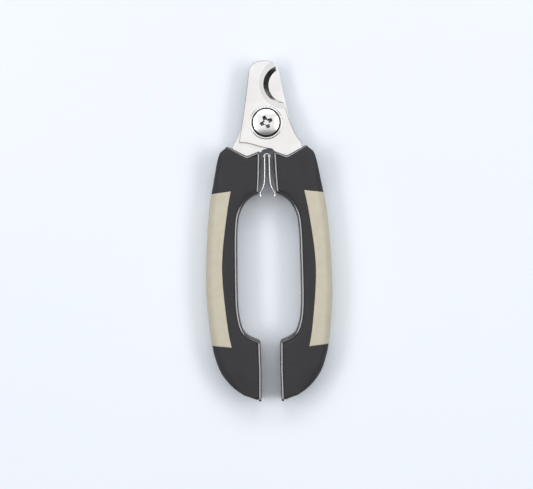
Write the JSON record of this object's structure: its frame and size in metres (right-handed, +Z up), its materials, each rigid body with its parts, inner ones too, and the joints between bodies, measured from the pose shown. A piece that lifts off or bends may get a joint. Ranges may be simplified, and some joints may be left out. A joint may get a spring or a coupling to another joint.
{
  "type": "pet nail trimmer",
  "caption": "Pliers-style pet nail clipper: crossing steel plates with a round mouth, domed pivot screw, hairpin spring and soft black and beige handles.",
  "frame": {"origin": "middle of the surface that the clipper lies on, half way along its length", "axes": "+Z up out of the front plate and the screw head, +Y along the clipper from the handles to the blades, +X to the right handle"},
  "size_m": [0.0594, 0.1601, 0.014],
  "materials": {
    "blade_steel": "satin polished",
    "bright_chrome": "polished",
    "spring_steel": "bright rolled",
    "hard_black": "gloss",
    "soft_black": "fine matt grain",
    "soft_beige": "smooth matt"
  },
  "bodies": {
    "rear_half": {"rear_blade": "blade_steel", "left_handle_core": "hard_black", "left_handle_skin": "soft_black", "left_grip_inlay": "soft_beige", "pivot_screw": "bright_chrome", "pivot_nut": "bright_chrome", "front_washer": "blade_steel", "rear_washer": "blade_steel"},
    "front_half": {"front_blade": "blade_steel", "right_handle_core": "hard_black", "right_handle_skin": "soft_black", "right_grip_inlay": "soft_beige"},
    "bend": {"spring_bend": "spring_steel"},
    "left_leg": {"spring_leg_left": "spring_steel"},
    "right_leg": {"spring_leg_right": "spring_steel"}
  },
  "joints": [
    {"name": "blade_pivot", "type": "hinge", "parent": "rear_half", "child": "front_half", "pos_m": [0, 0.0508, 0], "axis": [0, 0, 1], "range_deg": [-3.9, 25], "stiffness_Nm_per_rad": 0.3, "springref_deg": 24.98},
    {"name": "bend_swing", "type": "hinge", "parent": "rear_half", "child": "bend", "pos_m": [0, 0.0508, 0], "axis": [0, 0, 1], "range_deg": [-2, 12.6]},
    {"name": "left_leg_bend", "type": "hinge", "parent": "bend", "child": "left_leg", "pos_m": [0, 0.0344, 0], "axis": [0, 0, 1], "range_deg": [-25.5, 4.1]},
    {"name": "right_leg_bend", "type": "hinge", "parent": "bend", "child": "right_leg", "pos_m": [0, 0.0344, 0], "axis": [0, 0, 1], "range_deg": [-4.1, 25.5]}
  ],
  "couplings": [
    {"joint": "bend_swing", "follows": "blade_pivot", "ratio": 0.5},
    {"joint": "left_leg_bend", "follows": "blade_pivot", "ratio": -1},
    {"joint": "right_leg_bend", "follows": "blade_pivot", "ratio": 1}
  ]
}
